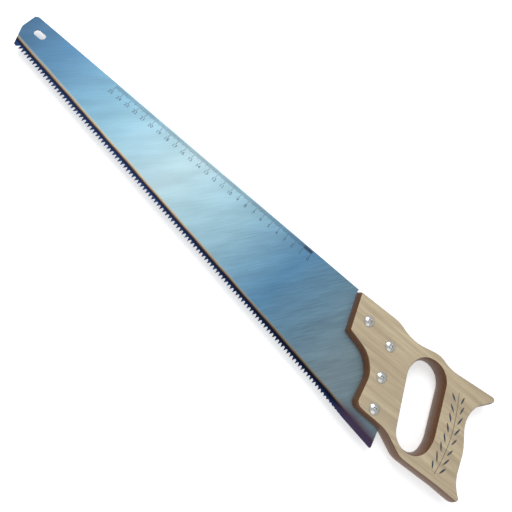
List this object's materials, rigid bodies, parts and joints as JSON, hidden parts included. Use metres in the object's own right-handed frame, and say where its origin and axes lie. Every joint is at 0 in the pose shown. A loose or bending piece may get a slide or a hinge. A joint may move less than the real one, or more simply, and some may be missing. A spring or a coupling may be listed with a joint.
{
  "type": "handsaw",
  "caption": "Hand saw with a long tapered toothed blade, a ruler along its back, a hanging slot at the toe and a closed wooden handle held on by screws and sleeve nuts.",
  "frame": {"origin": "middle of the saw's outline in plan, at the level of the nut heads' lowest points, the saw lying on its side", "axes": "+X along the toothed edge from the toe to the handle, +Y from the teeth to the back of the blade, +Z square to the blade on the side of the screw heads and the printed ruler"},
  "size_m": [0.6062, 0.129, 0.0234],
  "materials": {
    "blade_steel": "satin, finely brushed",
    "handle_wood": "lacquered pale faces with brown edges",
    "screw_plating": "bright plated",
    "nut_plating": "bright plated"
  },
  "bodies": {
    "root": {"blade": "blade_steel", "handle": "handle_wood", "saw_screw_1": "screw_plating", "saw_screw_2": "screw_plating", "saw_screw_3": "screw_plating", "saw_screw_4": "screw_plating", "sleeve_nut_1": "nut_plating", "sleeve_nut_2": "nut_plating", "sleeve_nut_3": "nut_plating", "sleeve_nut_4": "nut_plating"}
  },
  "joints": []
}
